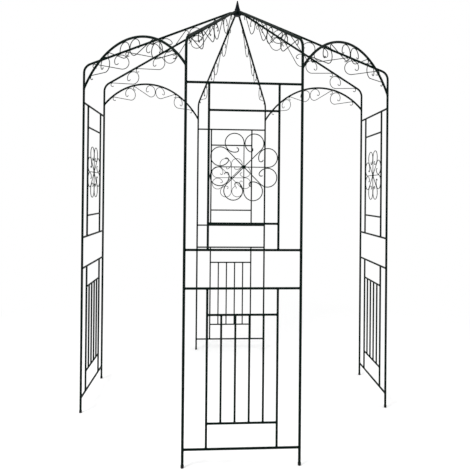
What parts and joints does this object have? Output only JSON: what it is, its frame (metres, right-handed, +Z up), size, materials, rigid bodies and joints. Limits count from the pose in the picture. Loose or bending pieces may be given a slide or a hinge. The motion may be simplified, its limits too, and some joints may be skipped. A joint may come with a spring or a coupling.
{
  "type": "garden arch pavilion",
  "caption": "Open octagonal garden arch of round steel tube: trellis sides, arched doorways, ribs rising to a hub with a spike, and wire scrollwork.",
  "frame": {"origin": "on the ground at the middle of the plan, level with the undersides of the foot caps", "axes": "+Z up, the front trellis side faces -Y, the right one faces +X"},
  "size_m": [1.8156, 1.8156, 2.524],
  "materials": {
    "tube": "near-black green powder coat, satin",
    "trellis": "near-black green powder coat, satin",
    "wire": "near-black green powder coat, satin",
    "casting": "near-black powder coat, satin",
    "caps": "moulded black plastic"
  },
  "bodies": {
    "root": {"front_post_left": "tube", "front_post_right": "tube", "right_post_front": "tube", "right_post_back": "tube", "back_post_right": "tube", "back_post_left": "tube", "left_post_back": "tube", "left_post_front": "tube", "front_rib_left": "tube", "front_rib_right": "tube", "right_rib_front": "tube", "right_rib_back": "tube", "back_rib_right": "tube", "back_rib_left": "tube", "left_rib_back": "tube", "left_rib_front": "tube", "front_right_arch": "tube", "back_right_arch": "tube", "back_left_arch": "tube", "front_left_arch": "tube", "front_upper_trellis": "trellis", "right_upper_trellis": "trellis", "back_upper_trellis": "trellis", "left_upper_trellis": "trellis", "front_lower_trellis": "trellis", "right_lower_trellis": "trellis", "back_lower_trellis": "trellis", "left_lower_trellis": "trellis", "front_rosette": "wire", "right_rosette": "wire", "back_rosette": "wire", "left_rosette": "wire", "front_rib_scrolls": "wire", "right_rib_scrolls": "wire", "back_rib_scrolls": "wire", "left_rib_scrolls": "wire", "front_right_arch_scrolls": "wire", "back_right_arch_scrolls": "wire", "back_left_arch_scrolls": "wire", "front_left_arch_scrolls": "wire", "foot_caps": "caps", "roof_hub": "casting", "finial": "casting"}
  },
  "joints": []
}
